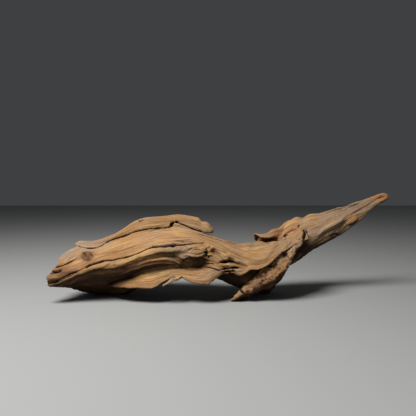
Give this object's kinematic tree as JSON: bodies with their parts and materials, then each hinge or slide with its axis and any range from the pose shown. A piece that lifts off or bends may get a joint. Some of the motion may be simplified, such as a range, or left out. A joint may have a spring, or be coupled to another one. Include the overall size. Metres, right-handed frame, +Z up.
{
  "type": "piece of driftwood",
  "caption": "Long weathered driftwood root with a free crest plank, a flared flap, a knot, a rising horn and a short leg; it rests on its belly, leg tip and hind foot.",
  "frame": {"origin": "bottom centre of the bounding box, on the surface that the wood rests on", "axes": "+X along the wood towards the tip of the horn, +Y to the back, +Z up"},
  "size_m": [0.5916, 0.1265, 0.1805],
  "materials": {
    "wood": "dry weathered brown wood, tan where the light catches the long grain, grey-brown in the furrows"
  },
  "bodies": {
    "root": {"driftwood": "wood"}
  },
  "joints": []
}
